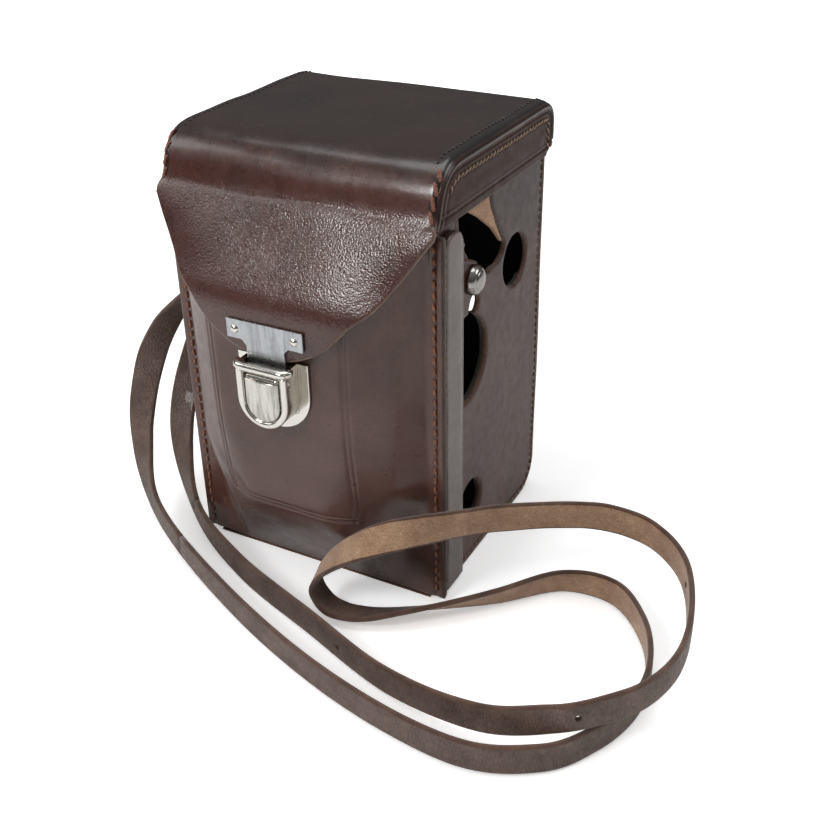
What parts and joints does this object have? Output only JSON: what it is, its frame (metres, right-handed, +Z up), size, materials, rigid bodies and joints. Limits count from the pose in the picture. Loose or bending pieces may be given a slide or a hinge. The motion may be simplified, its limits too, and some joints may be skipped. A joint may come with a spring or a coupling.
{
  "type": "camera ever-ready case",
  "caption": "Brown leather ever-ready case for a twin lens reflex camera, with hinged lid, moulded drop-down front cover, push lock and neck strap.",
  "frame": {"origin": "centre of the case's flat underside, midway between the sides, 44 mm behind the front cover's flange", "axes": "+Z up, the flap, lock and front cover face -Y, +X to the right when facing the lock"},
  "size_m": [0.2328, 0.1555, 0.16],
  "materials": {
    "case_leather": "polished brown, glossy with scuffs",
    "lid_leather": "polished dark red-brown with pebbled grain",
    "strap_leather": "worn brown grain, tan flesh side",
    "suede": "matte tan flesh side",
    "felt": "matte very dark green",
    "fibreboard": "matte",
    "nickel": "polished, lightly worn",
    "spring_steel": "satin"
  },
  "bodies": {
    "body": {"back_bottom_panel": "case_leather", "right_side_panel": "case_leather", "left_side_panel": "case_leather", "right_facing": "suede", "back_lining": "felt", "right_lining": "felt", "left_lining": "felt", "base_board": "fibreboard", "screw_bush": "nickel", "strap_studs": "nickel", "stud_washers": "nickel", "lid_hinge_strip": "case_leather", "cover_hinge_strip": "case_leather", "neck_strap": "strap_leather"},
    "lid": {"lid_panel": "lid_leather", "lid_right_wall": "case_leather", "lid_left_wall": "case_leather", "lid_lining": "felt", "hasp_plate": "nickel", "hasp_backing_plate": "nickel", "hasp_rivets": "nickel"},
    "front_cover": {"front_panel": "case_leather", "cover_right_wall": "case_leather", "cover_left_wall": "case_leather", "lock_base_plate": "nickel", "lock_backing_plate": "nickel", "lock_prongs": "nickel", "lock_housing": "nickel", "lock_hinge_pin": "nickel", "lock_spring": "spring_steel"},
    "lock_button": {"lock_button": "nickel"},
    "latch_bolt": {"latch_bolt": "nickel"},
    "retaining_screw": {"retaining_screw": "nickel"}
  },
  "joints": [
    {"name": "lid_hinge", "type": "hinge", "parent": "body", "child": "lid", "pos_m": [0, 0.0449, 0.1412], "axis": [-1, 0, 0], "range_deg": [0, 180]},
    {"name": "front_cover_hinge", "type": "hinge", "parent": "body", "child": "front_cover", "pos_m": [0, -0.0428, 0], "axis": [1, 0, 0], "range_deg": [0, 56], "deforming": ["neck_strap"]},
    {"name": "lock_button_push", "type": "hinge", "parent": "front_cover", "child": "lock_button", "pos_m": [0, -0.0688, 0.0904], "axis": [-1, 0, 0], "range_deg": [0, 5], "stiffness_Nm_per_rad": 0.02},
    {"name": "latch_bolt_slide", "type": "slide", "parent": "front_cover", "child": "latch_bolt", "axis": [0, 0, -1], "range_m": [0, 0.0012], "deforming": ["lock_spring"]},
    {"name": "retaining_screw_turn", "type": "hinge", "parent": "body", "child": "retaining_screw", "pos_m": [0, 0.014, 0.002], "axis": [0, 0, 1], "continuous": true}
  ],
  "couplings": [
    {"joint": "front_cover_hinge", "follows": "lid_hinge", "ratio": 0.31},
    {"joint": "latch_bolt_slide", "follows": "lock_button_push", "m_per_rad": 0.0125}
  ]
}
